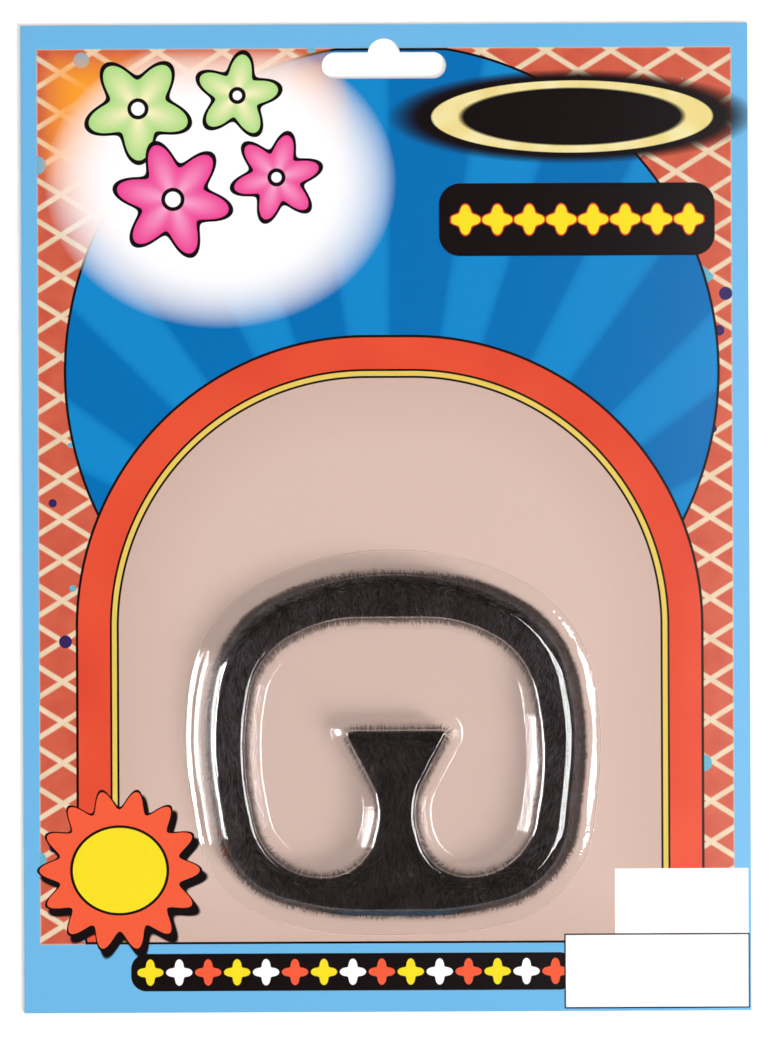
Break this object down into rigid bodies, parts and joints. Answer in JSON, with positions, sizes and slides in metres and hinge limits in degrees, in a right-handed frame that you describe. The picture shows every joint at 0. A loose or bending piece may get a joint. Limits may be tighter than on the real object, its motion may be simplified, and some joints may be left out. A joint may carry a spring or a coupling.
{
  "type": "fake moustache and beard on a display card",
  "caption": "One-piece black fur moustache, beard and soul patch under a clear blister on a flat backing card with a hang slot.",
  "frame": {"origin": "centre of the card's back, on the surface that it lies on", "axes": "+X to the card's right and +Y to its top as it is looked at from the front, +Z out of its face, up from the surface"},
  "size_m": [0.1684, 0.2286, 0.0088],
  "materials": {
    "printed_board": "glossy print on the face, plain matt board on the back and the edges",
    "clear_film": "clear, smooth and glossy",
    "black_fur": "short black artificial fur with a dull sheen, combed downwards"
  },
  "bodies": {
    "root": {"backing_card": "printed_board", "blister": "clear_film", "moustache_and_beard": "black_fur"}
  },
  "joints": []
}
